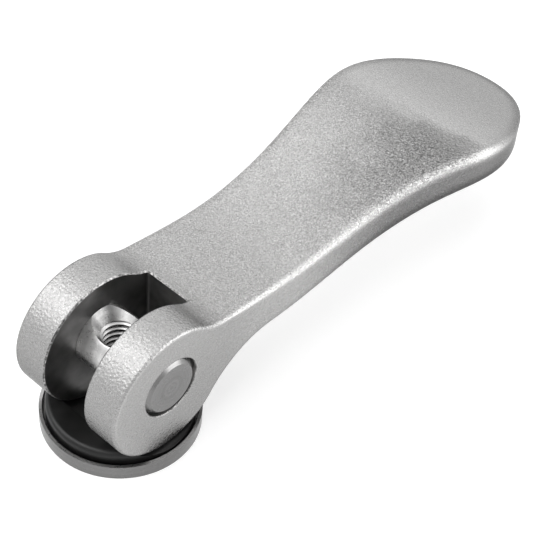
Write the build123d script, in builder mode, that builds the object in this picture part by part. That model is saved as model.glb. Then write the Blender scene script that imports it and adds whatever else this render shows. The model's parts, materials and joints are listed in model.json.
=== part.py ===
from build123d import *

import os

# Cam lever in stainless steel: cast lever, pivot pin with an internal thread, plastic and steel washers.
# Origin: centre of the clamp face under the steel washer, on the thread's axis.
# +Z runs up the thread's axis, +X points along the closed handle, the pivot pin lies along Y.

os.makedirs("parts", exist_ok=True)

# Thread and pivot pin
tapped_hole_diameter = 5.0  # core of the M6 internal thread
countersink_diameter = 9.2  # wide mouth on the pin's upper side, at the height of the pin's crown
entry_chamfer_diameter = 6.6  # small mouth on the underside, where the stud enters
mouth_angle = 90.0
pin_diameter = 9.4
pin_clearance = 0.05  # radial running fit in the lever's cross bore
pin_overhang = 0.1  # each end of the pin beyond the cheek's side face
pin_end_chamfer = 0.8

# Lever head: an eccentric cam, forked by a slot
head_width = 20.0
slot_width = 8.0
slot_reach = 8.9  # slot's back wall, from the pin's axis
slot_corner_radius = 0.5
slot_edge_break = 0.2  # chamfer all round the slot's outer edges
bore_mouth_chamfer = 0.1  # chamfer at the cross bore's two outer mouths
cam_radius = 10.55
cam_eccentricity = 1.15  # cam centre below the pin's axis when the lever is closed
crown_blend_radius = 9.0  # from the cam into the handle's top
heel_blend_radius = 14.0  # from the cam into the handle's underside
edge_radius = 0.5

# Handle: lengths from the pin's axis, heights of its middle line from the same axis, half widths in plan
handle_length = 84.9
cheek_length = 4.0  # how far the cheeks' side faces run flat past the pin's axis
root_length = 12.0
waist_length = 26.0
rise_length = 41.0
crest_length = 54.5
fall_length = 68.0
waist_half_width = 9.85
rise_half_width = 10.7
crest_half_width = 13.1
paddle_half_width = 14.6
paddle_length = 65.5
shoulder_half_width = 11.9
shoulder_length = 76.0
root_rise = 1.9
waist_rise = 1.25
rise_rise = 3.55
crest_rise = 5.5
fall_rise = 4.05
tip_rise = -0.4
root_thickness = 7.3
waist_thickness = 6.8
rise_thickness = 6.5
crest_thickness = 6.5
fall_thickness = 5.6
tip_thickness = 5.3

# Steel dish washer
dish_diameter = 23.5
dish_height = 2.4
dish_rim_width = 0.65
dish_floor = 1.0
dish_rim_chamfer = 0.2
stud_bore_diameter = 6.6

# Plastic thrust washer with its saddle
seat_clearance = 0.25  # radial gap inside the dish's rim
saddle_thickness = 1.3  # plastic left under the lowest line of the saddle
saddle_gap = 0.15  # between the saddle and the cam at rest
saddle_side_play = 1.3  # the saddle is rounder than the cam, so that the turning cam clears its sides
thrust_height = 3.2
thrust_edge_radius = 0.8

# Heights that follow
saddle_bottom = dish_floor + saddle_thickness
cam_centre_height = saddle_bottom + saddle_gap + cam_radius
pin_height = cam_centre_height + cam_eccentricity
pin_radius = pin_diameter / 2
pin_length = head_width + 2 * pin_overhang
saddle_radius = cam_radius + cam_eccentricity + saddle_side_play
dish_inner_radius = dish_diameter / 2 - dish_rim_width
thrust_radius = dish_inner_radius - seat_clearance

side_view = Plane.XZ


def side_point(length, rise):
    """A point of the lever's side view, from its distance and height from the pin's axis."""
    return (length, pin_height + rise)


# Stations of the handle's side view: distance from the pin, middle height above it, thickness
stations = [
    (root_length, root_rise, root_thickness),
    (waist_length, waist_rise, waist_thickness),
    (rise_length, rise_rise, rise_thickness),
    (crest_length, crest_rise, crest_thickness),
    (fall_length, fall_rise, fall_thickness),
    (handle_length, tip_rise, tip_thickness),
]
upper_points = [side_point(length, rise + thick / 2) for length, rise, thick in stations]
lower_points = [side_point(length, rise - thick / 2) for length, rise, thick in stations]
root_top = side_point(0, root_rise + root_thickness / 2 + 1)
root_bottom = side_point(0, root_rise - root_thickness / 2)

# Half of the handle's plan outline, from the head to the tip
plan_points = [
    (cheek_length, head_width / 2),
    (waist_length, waist_half_width),
    (rise_length, rise_half_width),
    (crest_length, crest_half_width),
    (paddle_length, paddle_half_width),
    (shoulder_length, shoulder_half_width),
    (handle_length, 0),
]

# ---- Lever: cam head, slot and paddle handle in one casting ----
with BuildPart() as lever:
    with BuildSketch(side_view):
        with Locations((0, cam_centre_height)):
            Circle(cam_radius)
        with BuildLine():
            upper = Spline(root_top, *upper_points)
            lower = Spline(root_bottom, *lower_points)
            Line(upper @ 0, lower @ 0)
            Line(upper @ 1, lower @ 1)
        make_face()
    extrude(amount=head_width, both=True)
    for end, blend_radius in ((-1, crown_blend_radius), (0, heel_blend_radius)):
        across = lever.edges().filter_by(Axis.Y)
        corners = across.filter_by_position(Axis.X, cam_radius / 2, root_length).sort_by(Axis.Z)
        fillet(corners[end], blend_radius)
    with BuildSketch(Plane.XY):
        with BuildLine():
            outline = Spline(*plan_points, tangents=[(1, 0), (0, -1)])
            back_corner = (-2 * cam_radius, head_width / 2)
            Line(outline @ 0, back_corner)
            Line(back_corner, (-2 * cam_radius, 0))
            mirror(about=Plane.XZ)
        make_face()
    extrude(amount=2 * pin_height + head_width, mode=Mode.INTERSECT)
    rim_edges = lever.edges().filter_by(GeomType.LINE, reverse=True)
    fillet(rim_edges, edge_radius)
    with BuildSketch(Plane.XY):
        with Locations((slot_reach, 0)):
            slot = Rectangle(4 * cam_radius, slot_width, align=(Align.MAX, Align.CENTER))
        fillet(slot.vertices().group_by(Axis.X)[-1], slot_corner_radius)
    extrude(amount=2 * pin_height, mode=Mode.SUBTRACT)
    chamfer(lever.edges(Select.LAST).filter_by(Axis.Z, reverse=True), slot_edge_break)
    with BuildSketch(side_view):
        with Locations((0, pin_height)):
            Circle(pin_radius + pin_clearance)
    extrude(amount=head_width / 2, both=True, mode=Mode.SUBTRACT)
    bore_edges = lever.edges(Select.LAST).filter_by(GeomType.CIRCLE).group_by(Axis.Y)
    chamfer(bore_edges[0] + bore_edges[-1], bore_mouth_chamfer)
lever.part.label = "lever"
export_step(lever.part, "parts/lever.step")

# ---- Pivot pin: a turned cylinder with the tapped hole across it ----
with BuildPart() as pivot_pin:
    with BuildSketch(side_view):
        with Locations((0, pin_height)):
            Circle(pin_radius)
    extrude(amount=pin_length / 2, both=True)
    chamfer(pivot_pin.edges().filter_by(GeomType.CIRCLE), pin_end_chamfer)
    with Locations((0, 0, pin_height + pin_radius)):
        CounterSinkHole(tapped_hole_diameter / 2, countersink_diameter / 2, counter_sink_angle=mouth_angle)
    with Locations(Location((0, 0, pin_height - pin_radius), (180, 0, 0))):
        CounterSinkHole(tapped_hole_diameter / 2, entry_chamfer_diameter / 2, counter_sink_angle=mouth_angle)
pivot_pin.part.label = "pivot_pin"
export_step(pivot_pin.part, "parts/pivot_pin.step")

# ---- Thrust washer: a plastic disc with a saddle for the cam ----
with BuildPart() as thrust_washer:
    with BuildSketch(Plane.XY.offset(dish_floor)):
        Circle(thrust_radius)
    extrude(amount=thrust_height)
    fillet(thrust_washer.edges().filter_by(GeomType.CIRCLE).sort_by(Axis.Z)[-1], thrust_edge_radius)
    with BuildSketch(side_view):
        with Locations((0, saddle_bottom + saddle_radius)):
            Circle(saddle_radius)
    extrude(amount=dish_diameter, both=True, mode=Mode.SUBTRACT)
    with Locations((0, 0, dish_floor)):
        Hole(stud_bore_diameter / 2)
thrust_washer.part.label = "thrust_washer"
export_step(thrust_washer.part, "parts/thrust_washer.step")

# ---- Dish washer: a turned steel dish under the plastic one ----
with BuildPart() as dish_washer:
    with BuildSketch(Plane.XY):
        Circle(dish_diameter / 2)
    extrude(amount=dish_height)
    with BuildSketch(Plane.XY.offset(dish_floor)):
        Circle(dish_inner_radius)
    extrude(amount=dish_height, mode=Mode.SUBTRACT)
    chamfer(dish_washer.edges().group_by(Axis.Z)[-1].sort_by(SortBy.RADIUS)[0], dish_rim_chamfer)
    with Locations((0, 0, dish_floor)):
        Hole(stud_bore_diameter / 2)
dish_washer.part.label = "dish_washer"
export_step(dish_washer.part, "parts/dish_washer.step")
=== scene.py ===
import json
import math

import bpy
from mathutils import Matrix, Vector


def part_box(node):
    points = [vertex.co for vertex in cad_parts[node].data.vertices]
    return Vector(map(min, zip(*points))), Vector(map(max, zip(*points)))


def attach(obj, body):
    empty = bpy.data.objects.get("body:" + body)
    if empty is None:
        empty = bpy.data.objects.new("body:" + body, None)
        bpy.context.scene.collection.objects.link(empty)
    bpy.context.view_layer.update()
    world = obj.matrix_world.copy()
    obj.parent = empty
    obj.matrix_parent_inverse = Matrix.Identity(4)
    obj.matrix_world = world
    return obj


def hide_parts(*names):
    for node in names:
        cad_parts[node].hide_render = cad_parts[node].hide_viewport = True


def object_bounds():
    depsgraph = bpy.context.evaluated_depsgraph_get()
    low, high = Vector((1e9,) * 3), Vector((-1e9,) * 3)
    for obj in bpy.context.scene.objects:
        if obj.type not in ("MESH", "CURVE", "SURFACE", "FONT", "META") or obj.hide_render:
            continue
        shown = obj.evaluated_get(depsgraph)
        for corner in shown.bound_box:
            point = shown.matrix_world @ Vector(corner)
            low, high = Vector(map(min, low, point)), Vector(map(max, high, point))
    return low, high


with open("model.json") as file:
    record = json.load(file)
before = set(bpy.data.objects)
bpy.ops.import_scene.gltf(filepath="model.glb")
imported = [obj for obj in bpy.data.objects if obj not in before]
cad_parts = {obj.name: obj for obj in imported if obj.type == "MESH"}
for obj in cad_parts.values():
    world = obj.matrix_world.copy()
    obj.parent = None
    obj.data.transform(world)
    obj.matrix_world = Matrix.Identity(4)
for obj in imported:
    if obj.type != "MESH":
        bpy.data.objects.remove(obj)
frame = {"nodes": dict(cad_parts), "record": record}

cad_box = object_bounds()
MM = 0.001

# ---- Sizes, in metres ----
# From the frame
pin_low, pin_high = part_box("pivot_pin")
pin_axis = (pin_low + pin_high) / 2
pin_radius = (pin_high.z - pin_low.z) / 2
pin_half_length = (pin_high.y - pin_low.y) / 2
thread_mount = next(m for m in frame["record"]["mounts"] if m["name"] == "stud_thread")
thread_core_radius = thread_mount["dims"]["r_mm"] * MM

# As in the solids
pin_end_chamfer = 0.8 * MM
pin_clearance = 0.05 * MM
bore_mouth_chamfer = 0.1 * MM
bore_mouth_radius = pin_radius + pin_clearance + bore_mouth_chamfer
upper_mouth_radius = 4.6 * MM
lower_mouth_radius = 3.3 * MM
slot_half_width = 4.0 * MM
slot_back = 8.9 * MM
slot_corner_radius = 0.5 * MM
slot_edge_break = 0.2 * MM
slot_margin = 1.1 * slot_edge_break

# The M6 thread, which the solids leave out
thread_outer_radius = 3.0 * MM
thread_pitch = 1.0 * MM

# Fineness of the shapes made here
steps_around_pin = 192
steps_along_pin = 12
steps_around_hole = 128
steps_per_thread_turn = 64
sharp_from_degrees = 32


# ---- Node helpers ----
class Shader:
    """A material's node tree with short calls for the nodes used here."""

    def __init__(self, name):
        self.material = bpy.data.materials.new(name)
        self.material.use_nodes = True
        self.nodes = self.material.node_tree.nodes
        self.links = self.material.node_tree.links
        self.bsdf = self.nodes["Principled BSDF"]
        self.coords = self.nodes.new("ShaderNodeTexCoord")
        self.place = self.coords.outputs["Object"]
        self.facing = self.coords.outputs["Normal"]

    def put(self, value, socket):
        """Links an output to a socket, or sets the socket's own value."""
        if isinstance(value, bpy.types.NodeSocket):
            self.links.new(value, socket)
        else:
            socket.default_value = value

    def math(self, operation, *values):
        node = self.nodes.new("ShaderNodeMath")
        node.operation = operation
        for value, socket in zip(values, node.inputs):
            self.put(value, socket)
        return node.outputs[0]

    def times(self, first, *others):
        product = first
        for value in others:
            product = self.math("MULTIPLY", product, value)
        return product

    def larger(self, first, second):
        return self.math("MAXIMUM", first, second)

    def inverse(self, share):
        return self.math("SUBTRACT", 1.0, share)

    def absolute(self, value):
        return self.math("ABSOLUTE", value)

    def axes(self, vector):
        node = self.nodes.new("ShaderNodeSeparateXYZ")
        self.put(vector, node.inputs[0])
        return node.outputs

    def combine(self, x, y, z):
        node = self.nodes.new("ShaderNodeCombineXYZ")
        for value, socket in zip((x, y, z), node.inputs):
            self.put(value, socket)
        return node.outputs[0]

    def noise(self, cell, detail=2.0, roughness=0.5, vector=None):
        """Noise whose features are about one cell wide, in metres."""
        node = self.nodes.new("ShaderNodeTexNoise")
        node.inputs["Scale"].default_value = 1 / cell
        node.inputs["Detail"].default_value = detail
        node.inputs["Roughness"].default_value = roughness
        self.put(vector or self.place, node.inputs["Vector"])
        return node.outputs["Fac"]

    def cells(self, cell):
        """The distance to the middle of the nearest cell, for cells about this wide, in metres."""
        node = self.nodes.new("ShaderNodeTexVoronoi")
        node.inputs["Scale"].default_value = 1 / cell
        self.put(self.place, node.inputs["Vector"])
        return node.outputs["Distance"]

    def remap(self, value, low, high, new_low=0.0, new_high=1.0, smooth=False):
        node = self.nodes.new("ShaderNodeMapRange")
        node.interpolation_type = "SMOOTHSTEP" if smooth else "LINEAR"
        for item, socket in zip((value, low, high, new_low, new_high), node.inputs):
            self.put(item, socket)
        return node.outputs[0]

    def step(self, value, start, end):
        """A soft step from 0 at the start to 1 at the end."""
        return self.remap(value, start, end, smooth=True)

    def blend(self, share, first, second):
        """A colour between two, by share."""
        node = self.nodes.new("ShaderNodeMix")
        node.data_type = "RGBA"
        self.put(share, node.inputs[0])
        self.put(first, node.inputs[6])
        self.put(second, node.inputs[7])
        return node.outputs[2]

    def bump(self, height, distance, strength=1.0, under=None):
        node = self.nodes.new("ShaderNodeBump")
        node.inputs["Distance"].default_value = distance
        self.put(strength, node.inputs["Strength"])
        self.put(height, node.inputs["Height"])
        if under:
            self.put(under, node.inputs["Normal"])
        return node.outputs[0]

    def rounded(self, radius):
        """The surface's direction, softened about edges to a rounder look."""
        node = self.nodes.new("ShaderNodeBevel")
        node.samples = 8
        self.put(radius, node.inputs["Radius"])
        return node.outputs[0]

    def own_frame(self, direction):
        """A direction of the world in the object's own axes."""
        node = self.nodes.new("ShaderNodeVectorTransform")
        node.vector_type = "NORMAL"
        node.convert_from = "WORLD"
        node.convert_to = "OBJECT"
        self.put(direction, node.inputs[0])
        return node.outputs[0]

    def finish(self, color, roughness, normal, metallic=1.0):
        self.put(color, self.bsdf.inputs["Base Color"])
        self.put(roughness, self.bsdf.inputs["Roughness"])
        self.put(normal, self.bsdf.inputs["Normal"])
        self.bsdf.inputs["Metallic"].default_value = metallic
        return self.material


def grey(level, warmth=0.0):
    """An almost neutral colour."""
    return (level * (1 + warmth), level, level * (1 - warmth), 1.0)


def steel(level):
    """The grey of cast or turned stainless steel."""
    return grey(level, 0.006)


def milled(level):
    """The slightly warmer grey of milled stainless steel."""
    return grey(level, 0.01)


# ---- Cast steel of the lever ----
class CastSkin(Shader):
    """The casting's material, with soft masks for the stretches of the lever that look different."""

    def __init__(self, name):
        super().__init__(name)
        rounding_at_head = 0.3 * MM
        rounding_at_paddle = 2.9 * MM
        self.x, self.y, _ = self.axes(self.place)
        rounding = self.remap(self.x, 6 * MM, 42 * MM, rounding_at_head, rounding_at_paddle)
        self.softened = self.rounded(rounding)
        _, _, self.upward = self.axes(self.own_frame(self.softened))
        _, facing_y, _ = self.axes(self.facing)
        self.flank = self.step(self.absolute(facing_y), 0.80, 0.97)
        self.off_flank = self.inverse(self.flank)
        self.about_crest = self.times(self.past(34, 44), self.past(66, 58))
        self.to_tip = self.past(56, 66)
        self.about_tip = self.past(62, 75)

    def past(self, start, end):
        """A soft step along the handle, between two distances from the pin in millimetres."""
        return self.step(self.x, start * MM, end * MM)

    def calm(self):
        """Where the grain is calm: the head, most of all its flanks, and the tip."""
        calm_at_tip = 0.8
        calm_on_head = 0.55
        on_flanks = self.times(self.flank, self.past(22, 10))
        on_head = self.times(self.past(12, 3), calm_on_head)
        return self.larger(self.larger(on_flanks, on_head), self.times(self.to_tip, calm_at_tip))

    def coarse(self):
        """Where the grain is coarse and painted shade darkens it: the near side of the rise, up to a soft
        line at the crest.
        """
        reach = 2.5 * MM
        slant = 0.3
        waver = self.remap(self.noise(6 * MM, detail=3.0), 0.3, 0.7, -reach, reach)
        along = self.math("ADD", self.math("MULTIPLY_ADD", self.y, slant, self.x), waver)
        before_crest = self.times(self.step(along, 20 * MM, 50 * MM), self.step(along, 62 * MM, 57 * MM))
        near_side = self.step(self.math("ADD", self.y, waver), 8 * MM, -9 * MM)
        return self.times(before_crest, near_side, self.step(self.upward, 0.60, 0.94))

    def hammered(self):
        """Where it looks hammered: the cam's rims, and the handle's edges about the crest."""
        hammered_rim = 0.5
        hammered_edge = 0.8
        on_rim = self.times(self.past(9, 3), self.off_flank, hammered_rim)
        on_edge = self.times(self.about_crest, self.step(self.upward, 0.98, 0.9), hammered_edge)
        return self.larger(on_rim, on_edge)

    def mottle(self, calm):
        """Fine light and dark specks about one half, weaker where the grain is calm."""
        specks = self.remap(self.noise(0.20 * MM, detail=2.0, roughness=0.7), 0.40, 0.60)
        contrast = self.remap(calm, 0.0, 1.0, 1.0, 0.3)
        return self.math("MULTIPLY_ADD", self.math("SUBTRACT", specks, 0.5), contrast, 0.5)

    def relief(self, calm, pitted):
        """The skin's relief, from the widest swell to the finest grain."""
        swell = self.noise(9 * MM, detail=1.0)
        skin = self.noise(1.3 * MM, detail=3.0, roughness=0.6)
        pits = self.cells(0.40 * MM)
        grain = self.noise(0.22 * MM, detail=3.0, roughness=0.65)
        relief = self.bump(swell, 0.10 * MM, 0.5, under=self.softened)
        relief = self.bump(skin, 0.02 * MM, 0.6, under=relief)
        relief = self.bump(pits, 0.14 * MM, pitted, under=relief)
        return self.bump(grain, 0.15 * MM, self.remap(calm, 0.0, 1.0, 1.0, 0.15), under=relief)

    def top_tone(self, mottle, coarse):
        """A little darker on the head, painted shade where it is coarse, and even at the tip."""
        tone = self.blend(mottle, steel(0.27), steel(0.47))
        on_head = self.times(self.past(16, 4), self.off_flank)
        tone = self.blend(self.times(on_head, 0.5), tone, steel(0.26))
        # Painted shade: the coarse stretch is painted much darker.
        painted_shade_tone = self.blend(mottle, steel(0.04), steel(0.32))
        tone = self.blend(self.times(coarse, 0.8), tone, painted_shade_tone)
        return self.blend(self.times(self.to_tip, 0.4), tone, steel(0.47))

    def paint_side_light_and_shade(self, tone):
        """Painted light on the sides by the waist, and painted shade on those about the tip and under the
        paddle's edge.
        """
        on_paddle = self.past(24, 48)
        lit_waist_side = self.times(self.flank, self.past(10, 20), self.inverse(on_paddle))
        # Painted light: the sides by the waist are painted lighter.
        tone = self.blend(self.times(lit_waist_side, 0.5), tone, steel(0.52))
        shaded_tip_side = self.times(self.about_tip, self.step(self.upward, 0.995, 0.88))
        # Painted shade: the sides about the tip are painted darker.
        tone = self.blend(self.times(shaded_tip_side, 0.7), tone, steel(0.18))
        shaded_underside = self.times(self.step(self.upward, 0.32, -0.20), self.step(self.upward, -0.92, -0.55))
        # Painted shade: faces turned down under the paddle's edge are painted near black.
        return self.blend(self.times(shaded_underside, on_paddle, 0.85), tone, steel(0.07))

    def paint_edge_highlight(self, tone, mottle):
        """Painted highlight along the upper edges, patchy about the crest and weakest about the tip."""
        low = self.remap(self.x, 30 * MM, 50 * MM, 0.25, 0.12)
        from_side = self.step(self.upward, low, self.math("ADD", low, 0.25))
        over_edge = self.times(from_side, self.step(self.upward, 0.98, 0.88))
        patches = self.step(self.noise(0.55 * MM, detail=3.0, roughness=0.7), 0.56, 0.46)
        highlight_unbroken = self.inverse(self.times(self.about_crest, patches))
        # Strength of the painted highlight: strong along the handle, faint at the tip.
        wear = self.remap(self.about_tip, 0.0, 1.0, 0.85, 0.1)
        edge_highlight = self.times(over_edge, self.past(7, 14), highlight_unbroken, wear)
        # Painted highlight: the upper edges are painted lighter.
        return self.blend(edge_highlight, tone, self.blend(mottle, steel(0.36), steel(0.68)))


def cast_steel():
    """Shot-blasted casting: sparkling grain, coarse before the crest with painted shade there, calm at the
    tip; painted light and shade on the sides, a painted highlight on the upper edges.
    """
    s = CastSkin("cast_steel")
    calm = s.calm()
    coarse = s.coarse()
    pitted = s.larger(s.remap(coarse, 0.0, 1.0, 0.12, 1.0), s.hammered())
    mottle = s.mottle(calm)
    tone = s.paint_edge_highlight(s.paint_side_light_and_shade(s.top_tone(mottle, coarse)), mottle)
    roughness = s.remap(s.noise(0.5 * MM, detail=3.0), 0.3, 0.7, 0.22, 0.32)
    s.bsdf.inputs["Specular Tint"].default_value = grey(0.6)
    return s.finish(tone, roughness, s.relief(calm, pitted))


# ---- Other materials ----
def broken_edge():
    """Broken edges of the slot and the bore: ragged, dark and bright in turns."""
    s = Shader("broken_edge")
    wear = s.remap(s.noise(0.5 * MM, detail=4.0, roughness=0.7), 0.42, 0.62)
    tone = s.blend(wear, milled(0.07), milled(0.40))
    relief = s.bump(s.noise(0.25 * MM, detail=3.0), 0.12 * MM)
    return s.finish(tone, 0.4, relief)


def machined_steel():
    """Milled slot and reamed bore with straight tool marks: walls painted darker as shade, and the slot's
    back painted lighter as light.
    """
    s = Shader("machined_steel")
    x, y, z = s.axes(s.place)
    facing_x, _, _ = s.axes(s.facing)
    stretch = 0.05
    marks = s.noise(0.12 * MM, vector=s.combine(s.times(x, stretch), y, z))
    wear = s.remap(s.noise(2.5 * MM, detail=3.0), 0.35, 0.65)
    on_back = s.remap(s.absolute(facing_x), 0.8, 0.95)
    # Painted shade on the walls of the slot and the bore, painted light on the slot's back.
    shaded_wall_tone = s.blend(wear, milled(0.16), milled(0.23))
    lit_back_tone = s.blend(wear, milled(0.36), milled(0.55))
    relief = s.bump(marks, 0.012 * MM, 0.5)
    relief = s.bump(s.noise(0.3 * MM, detail=3.0), 0.012 * MM, 0.4, under=relief)
    return s.finish(s.blend(on_back, shaded_wall_tone, lit_back_tone), s.remap(marks, 0.3, 0.7, 0.28, 0.42), relief)


def turned_steel(name, level, painted_face_level, around="Z", centre=(0, 0, 0)):
    """Lathe-turned steel: fine rings about the axis of turning, and end faces in a tone of their own,
    lighter or darker than the sides as painted light and shade.
    """
    s = Shader(name)
    along = "XYZ".index(around)
    across = [axis for axis in range(3) if axis != along]
    place = s.axes(s.place)
    squares = [s.math("POWER", s.math("SUBTRACT", place[axis], centre[axis]), 2.0) for axis in across]
    radius = s.math("SQRT", s.math("ADD", *squares))
    turned_place = s.combine(radius, place[along], 0.0)
    rings = s.noise(0.09 * MM, roughness=0.6, vector=turned_place)
    bands = s.remap(s.noise(0.7 * MM, vector=turned_place), 0.35, 0.65)
    scuffs = s.noise(0.6 * MM, detail=4.0, roughness=0.7)
    faced = s.remap(s.absolute(s.axes(s.facing)[along]), 0.5, 0.65)
    # Painted light and shade: sides and end faces get tones of their own by the way they face.
    painted_side_tone = s.blend(bands, steel(level), steel(level * 1.16))
    painted_face_tone = s.blend(bands, steel(painted_face_level * 0.92), steel(painted_face_level * 1.14))
    relief = s.bump(rings, 0.01 * MM, s.remap(faced, 0.0, 1.0, 0.45, 1.0))
    relief = s.bump(scuffs, 0.01 * MM, 0.25, under=relief)
    roughness = s.remap(scuffs, 0.3, 0.7, 0.24, 0.36)
    return s.finish(s.blend(faced, painted_side_tone, painted_face_tone), roughness, relief)


def black_plastic():
    """Moulded glass-filled plastic: near black, satin, with a fine leathery skin."""
    s = Shader("black_plastic")
    skin = s.noise(0.25 * MM, detail=3.0, roughness=0.6)
    dust = s.remap(s.noise(3 * MM, detail=3.0), 0.45, 0.75)
    tone = s.blend(s.times(dust, 0.3), grey(0.006), grey(0.02))
    relief = s.bump(skin, 0.012 * MM, 0.5)
    roughness = s.remap(skin, 0.3, 0.7, 0.3, 0.42)
    s.bsdf.inputs["Specular IOR Level"].default_value = 0.3
    return s.finish(tone, roughness, relief, metallic=0.0)


# ---- Mesh helpers ----
def mesh_object(name, vertices, faces):
    mesh = bpy.data.meshes.new(name)
    mesh.from_pydata(vertices, [], faces)
    mesh.update()
    made = bpy.data.objects.new(name, mesh)
    bpy.context.scene.collection.objects.link(made)
    return made


def lathe(name, profile, steps, turn):
    """A closed solid of revolution about Z from (radius, height) points, moved by the matrix turn."""
    vertices = [turn @ Vector((0, 0, profile[0][1]))]
    for radius, height in profile:
        for i in range(steps):
            angle = 2 * math.pi * i / steps
            vertices.append(turn @ Vector((radius * math.cos(angle), radius * math.sin(angle), height)))
    vertices.append(turn @ Vector((0, 0, profile[-1][1])))
    last = len(vertices) - 1
    faces = []
    for i in range(steps):
        j = (i + 1) % steps
        faces.append((0, 1 + j, 1 + i))
        for k in range(len(profile) - 1):
            low = 1 + k * steps
            high = low + steps
            faces.append((low + i, low + j, high + j, high + i))
        top = 1 + (len(profile) - 1) * steps
        faces.append((top + i, top + j, last))
    return mesh_object(name, vertices, faces)


def thread_groove(name, centre, low, high):
    """A closed V-shaped helix that cuts the internal thread, from height low to high about the centre."""
    steps = steps_per_thread_turn
    overlap = 0.12 * MM  # reaches inside the drilled core, so that the cut is clean
    flank_slope = math.tan(math.radians(30))
    root_half = thread_pitch / 16
    inner_radius = thread_core_radius - overlap
    inner_half = root_half + (thread_outer_radius - inner_radius) * flank_slope
    section = [
        (inner_radius, -inner_half),
        (thread_outer_radius, -root_half),
        (thread_outer_radius, root_half),
        (inner_radius, inner_half),
    ]
    count = int(steps * (high - low) / thread_pitch)
    vertices = []
    for i in range(count + 1):
        angle = 2 * math.pi * i / steps
        rise = low + thread_pitch * i / steps
        for radius, offset in section:
            spot = Vector((radius * math.cos(angle), radius * math.sin(angle), rise + offset))
            vertices.append(centre + spot)
    faces = [(0, 1, 2, 3)]
    for i in range(count):
        for k in range(4):
            a = 4 * i + k
            b = 4 * i + (k + 1) % 4
            faces.append((a, a + 4, b + 4, b))
    end = 4 * count
    faces.append((end + 3, end + 2, end + 1, end))
    return mesh_object(name, vertices, faces)


def cut(body, tools):
    """Takes the tools out of the body and keeps the result as the body's own mesh."""
    for tool in tools:
        step = body.modifiers.new("cut", "BOOLEAN")
        step.operation = "DIFFERENCE"
        step.solver = "EXACT"
        step.object = tool
    result = bpy.data.meshes.new_from_object(body.evaluated_get(bpy.context.evaluated_depsgraph_get()))
    body.modifiers.clear()
    body.data = result
    for tool in tools:
        bpy.data.objects.remove(tool)
    return body


def smooth_by_angle(obj, degrees):
    """Smooth shading with sharp edges kept."""
    mesh = obj.data
    mesh.shade_smooth()
    mesh.set_sharp_from_angle(angle=math.radians(degrees))


# ---- Pivot pin with its real thread ----
def pivot_pin():
    """The turned pin, cut across by the tapped hole with its two mouths."""
    lay_along_y = Matrix.Translation(pin_axis) @ Matrix.Rotation(math.radians(90), 4, "X")
    end = pin_half_length
    rim = pin_radius - pin_end_chamfer
    rows = steps_along_pin
    length_rows = [(pin_radius, (end - pin_end_chamfer) * (2 * i / rows - 1)) for i in range(rows + 1)]
    profile = [(rim / 2, -end), (rim, -end), *length_rows, (rim, end), (rim / 2, end)]
    body = lathe("threaded_pin", profile, steps_around_pin, lay_along_y)

    beyond = 0.6 * MM
    upper_cone = upper_mouth_radius - thread_core_radius
    lower_cone = lower_mouth_radius - thread_core_radius
    drill_profile = [
        (lower_mouth_radius + beyond, -pin_radius - beyond),
        (thread_core_radius, -pin_radius + lower_cone),
        (thread_core_radius, pin_radius - upper_cone),
        (upper_mouth_radius + beyond, pin_radius + beyond),
    ]
    drill = lathe("drill", drill_profile, steps_around_hole, Matrix.Translation(pin_axis))
    groove = thread_groove("groove", pin_axis, -pin_radius - thread_pitch, pin_radius)
    cut(body, [drill, groove])
    smooth_by_angle(body, sharp_from_degrees)
    return body


# ---- Lever, washers and pin get their finishes ----
def half_aside(face):
    """Whether a face is turned about halfway towards the lever's sides, as a chamfer is."""
    return 0.5 < abs(face.normal.y) < 0.9


def on_slot_edge(face):
    """Whether a face of the slot belongs to the chamfer about its outer edges."""
    tilted_up = abs(face.normal.z) > 0.3
    if face.center.x > slot_back:
        return tilted_up
    clear_of_corner = face.center.x < slot_back - slot_corner_radius
    return half_aside(face) and (clear_of_corner or tilted_up)


def finish_lever():
    """Cast steel outside, machined steel in the slot and the bore, and broken edges between them."""
    mesh = frame["nodes"]["lever"].data
    cast, machined, broken = range(3)
    mesh.materials.clear()
    for material in (cast_steel(), machined_steel(), broken_edge()):
        mesh.materials.append(material)
    for face in mesh.polygons:
        x, y, z = face.center
        in_slot = abs(y) < slot_half_width + slot_margin and x < slot_back + slot_margin
        in_bore = math.hypot(x - pin_axis.x, z - pin_axis.z) < bore_mouth_radius
        if (in_bore and half_aside(face)) or (in_slot and on_slot_edge(face)):
            face.material_index = broken
        elif in_slot or in_bore:
            face.material_index = machined
        else:
            face.material_index = cast


def give(obj, material):
    obj.data.materials.clear()
    obj.data.materials.append(material)


finish_lever()
give(frame["nodes"]["thrust_washer"], black_plastic())
# Painted light and shade: the dish's top is lighter than its side, the pin's ends darker than its body.
give(frame["nodes"]["dish_washer"], turned_steel("dish_steel", level=0.16, painted_face_level=0.30))
pin = pivot_pin()
give(pin, turned_steel("turned_steel", level=0.52, painted_face_level=0.18, around="Y", centre=pin_axis))
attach(pin, "pin")
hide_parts("pivot_pin")


# ---- Stage: pale floor, white surroundings, soft lamps ----
def shown_rays(nodes, links):
    """1 for the rays that show the surroundings: camera, glossy and transmission."""
    path = nodes.new("ShaderNodeLightPath")
    shown = path.outputs["Is Camera Ray"]
    for kind in ("Is Glossy Ray", "Is Transmission Ray"):
        either = nodes.new("ShaderNodeMath")
        either.operation = "MAXIMUM"
        links.new(shown, either.inputs[0])
        links.new(path.outputs[kind], either.inputs[1])
        shown = either.outputs[0]
    return shown


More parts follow.
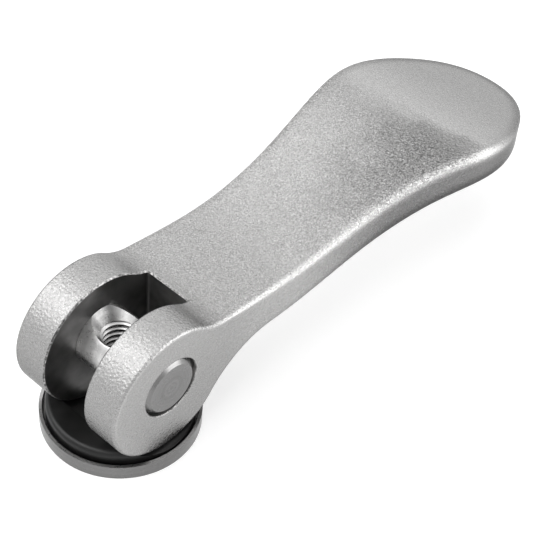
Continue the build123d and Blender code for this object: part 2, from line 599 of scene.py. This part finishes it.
def surroundings(lighting_strength):
    """White where it is seen or mirrored, and a weaker soft light elsewhere."""
    world = bpy.data.worlds.new("surroundings")
    bpy.context.scene.world = world
    world.use_nodes = True
    nodes, links = world.node_tree.nodes, world.node_tree.links
    background = nodes["Background"]
    background.inputs["Color"].default_value = (1, 1, 1, 1)
    strength = nodes.new("ShaderNodeMapRange")
    links.new(shown_rays(nodes, links), strength.inputs["Value"])
    strength.inputs["To Min"].default_value = lighting_strength
    strength.inputs["To Max"].default_value = 1.0
    links.new(strength.outputs[0], background.inputs["Strength"])


def floor(size, level, near_glow, far_glow):
    """Pale floor under the part. A faint glow lifts it to white where it is seen, more so far away."""
    low = cad_box[0].z
    corners = [(-size, -size, low), (size, -size, low), (size, size, low), (-size, size, low)]
    made = mesh_object("floor", corners, [(0, 1, 2, 3)])
    s = Shader("floor")
    away = s.nodes.new("ShaderNodeVectorMath")
    away.operation = "LENGTH"
    s.put(s.place, away.inputs[0])
    glow_starts = 0.15
    glow_ends = 0.6
    glow = s.remap(away.outputs["Value"], glow_starts, glow_ends, near_glow, far_glow, smooth=True)
    s.bsdf.inputs["Base Color"].default_value = grey(level)
    s.bsdf.inputs["Roughness"].default_value = 1.0
    s.bsdf.inputs["Specular IOR Level"].default_value = 0.0
    s.bsdf.inputs["Emission Color"].default_value = (1, 1, 1, 1)
    s.put(s.math("MULTIPLY", glow, shown_rays(s.nodes, s.links)), s.bsdf.inputs["Emission Strength"])
    made.data.materials.append(s.material)


def lamp(name, azimuth, elevation, size, power):
    """A square soft lamp that looks at the middle of the part. Azimuth 0 is along -Y, 90 along +X."""
    light = bpy.data.lights.new(name, "AREA")
    light.shape = "SQUARE"
    light.size = size
    light.energy = power
    made = bpy.data.objects.new(name, light)
    a, e = math.radians(azimuth), math.radians(elevation)
    away = Vector((math.sin(a) * math.cos(e), -math.cos(a) * math.cos(e), math.sin(e)))
    middle = (cad_box[0] + cad_box[1]) / 2
    made.location = middle + away * lamp_distance
    made.rotation_euler = away.to_track_quat("Z", "Y").to_euler()
    bpy.context.scene.collection.objects.link(made)


lamp_distance = 0.6
surroundings(lighting_strength=0.45)
floor(size=3.0, level=0.85, near_glow=0.32, far_glow=0.62)
lamp("front_right", azimuth=36, elevation=24, size=0.50, power=3.2)
lamp("back_left", azimuth=216, elevation=46, size=0.50, power=2.0)
lamp("back_right", azimuth=127, elevation=42, size=0.40, power=0.55)
lamp("left_high", azimuth=270, elevation=60, size=0.35, power=0.8)


# ---- Camera at the photograph's angle ----
def camera(azimuth, elevation, roll, distance, lens, middle_right, middle_up):
    """Looks at a point that lies to the right of the origin and above it, as the picture shows them."""
    a, e = math.radians(azimuth), math.radians(elevation)
    back = Vector((math.sin(a) * math.cos(e), -math.cos(a) * math.cos(e), math.sin(e)))
    right = Vector((math.cos(a), math.sin(a), 0))
    up = back.cross(right)
    r = math.radians(roll)
    picture_right = right * math.cos(r) - up * math.sin(r)
    picture_up = right * math.sin(r) + up * math.cos(r)
    place = picture_right * middle_right + picture_up * middle_up + back * distance
    made = bpy.data.objects.new("camera", bpy.data.cameras.new("camera"))
    axes = Matrix((picture_right, picture_up, back)).transposed()
    made.matrix_world = Matrix.Translation(place) @ axes.to_4x4()
    made.data.lens = lens
    made.data.sensor_width = 36.0
    made.data.clip_start = 0.01
    bpy.context.scene.collection.objects.link(made)
    bpy.context.scene.camera = made


camera(
    azimuth=-50.65,
    elevation=44.72,
    roll=-5.13,
    distance=0.21733,
    lens=100.75,
    middle_right=0.02127,
    middle_up=0.02105,
)
bpy.context.scene.view_settings.view_transform = "Standard"
